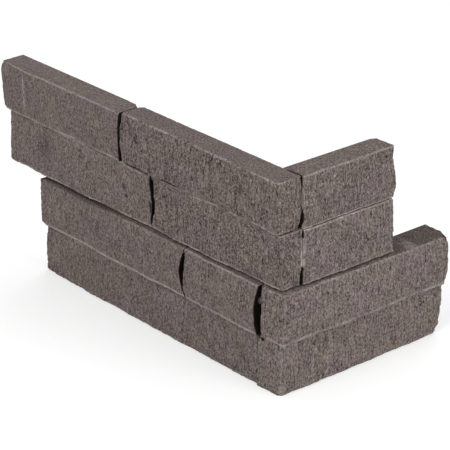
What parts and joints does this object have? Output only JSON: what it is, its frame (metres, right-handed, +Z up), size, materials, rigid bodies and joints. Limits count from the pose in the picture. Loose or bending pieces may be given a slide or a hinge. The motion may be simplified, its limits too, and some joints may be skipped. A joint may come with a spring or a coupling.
{
  "type": "stone cladding corner piece",
  "caption": "Ready-bonded corner of rough grey-brown ledge stone wall cladding: an L in plan, in staggered courses whose stones lap through the corner.",
  "frame": {"origin": "foot of the inner angle, where the backs of the two arms meet the plane that the piece stands on", "axes": "+Z up, -X along the long arm, +Y along the return arm; the long arm's split face looks along -Y and the return's along +X"},
  "size_m": [0.3084, 0.1534, 0.1524],
  "materials": {
    "stone": "rough split and sandblasted face, sawn beds and back",
    "bonding_resin": "cured stone adhesive, dull and dusty"
  },
  "bodies": {
    "root": {"top_end_stone": "stone", "top_corner_stone": "stone", "top_return_stone": "stone", "upper_end_stone": "stone", "upper_corner_stone": "stone", "upper_return_stone": "stone", "lower_end_stone": "stone", "lower_inner_stone": "stone", "lower_return_stone": "stone", "base_face_stone": "stone", "base_return_stone": "stone", "top_bed_resin": "bonding_resin", "middle_bed_resin": "bonding_resin", "base_bed_resin": "bonding_resin", "top_face_joint_resin": "bonding_resin", "top_corner_joint_resin": "bonding_resin", "upper_face_joint_resin": "bonding_resin", "upper_corner_joint_resin": "bonding_resin", "lower_face_joint_resin": "bonding_resin", "lower_corner_joint_resin": "bonding_resin", "base_corner_joint_resin": "bonding_resin"}
  },
  "joints": []
}
